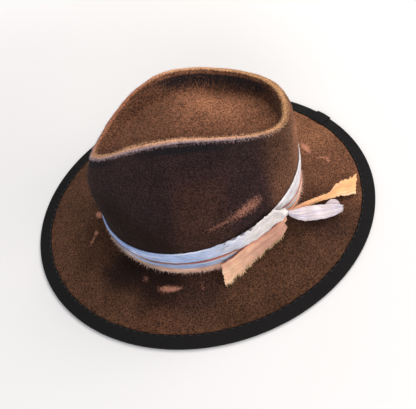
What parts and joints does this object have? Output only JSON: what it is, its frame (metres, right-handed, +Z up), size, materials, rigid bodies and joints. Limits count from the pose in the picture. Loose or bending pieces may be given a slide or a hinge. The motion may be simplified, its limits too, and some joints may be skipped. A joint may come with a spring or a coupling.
{
  "type": "fedora hat",
  "caption": "Distressed wool-felt fedora with a teardrop crown, bound flat brim and a band of torn cloth strips knotted at the wearer's left, whose loose ends lift.",
  "frame": {"origin": "middle of the brim's outline, on the plane the brim rests on", "axes": "+Z up through the crown, -Y to the front of the hat, +X to the wearer's left"},
  "size_m": [0.3148, 0.354, 0.1427],
  "materials": {
    "wool_felt": "matte distressed wool felt, worn tan along the ridge",
    "grosgrain": "ribbed grosgrain ribbon, low sheen",
    "black_thread": "sewing thread",
    "white_muslin": "creased torn muslin",
    "peach_muslin": "tea-dyed torn muslin with frayed edges",
    "pale_thread": "sewing thread",
    "sweatband_leather": "semi-matte brown leather",
    "reed_plastic": "translucent extruded reed"
  },
  "bodies": {
    "hat": {"felt_body": "wool_felt", "brim_binding": "grosgrain", "binding_lap": "grosgrain", "binding_stitching": "black_thread", "white_strip_upper": "white_muslin", "white_strip_lower": "white_muslin", "white_hitch": "white_muslin", "white_knot": "white_muslin", "peach_cord": "peach_muslin", "peach_strip": "peach_muslin", "peach_knot": "peach_muslin", "band_tacks": "pale_thread", "sweatband": "sweatband_leather", "sweatband_reed": "reed_plastic", "sweatband_stitching": "pale_thread", "sweatband_seam_tape": "grosgrain", "sweatband_bow": "grosgrain"},
    "front_end": {"peach_tail_front": "peach_muslin"},
    "white_end": {"white_tail_rear": "white_muslin"},
    "rear_end": {"peach_tail_rear": "peach_muslin"}
  },
  "joints": [
    {"name": "front_end_lift", "type": "hinge", "parent": "hat", "child": "front_end", "pos_m": [0.079, 0.0615, 0.036], "axis": [-0.5706, -0.3961, 0.7194], "range_deg": [0, 70]},
    {"name": "white_end_lift", "type": "hinge", "parent": "hat", "child": "white_end", "pos_m": [0.0735, 0.0715, 0.0455], "axis": [0.8515, -0.1881, -0.4894], "range_deg": [0, 75]},
    {"name": "rear_end_lift", "type": "hinge", "parent": "hat", "child": "rear_end", "pos_m": [0.0685, 0.0735, 0.04], "axis": [0.9178, 0.3805, 0.1131], "range_deg": [0, 65]}
  ]
}
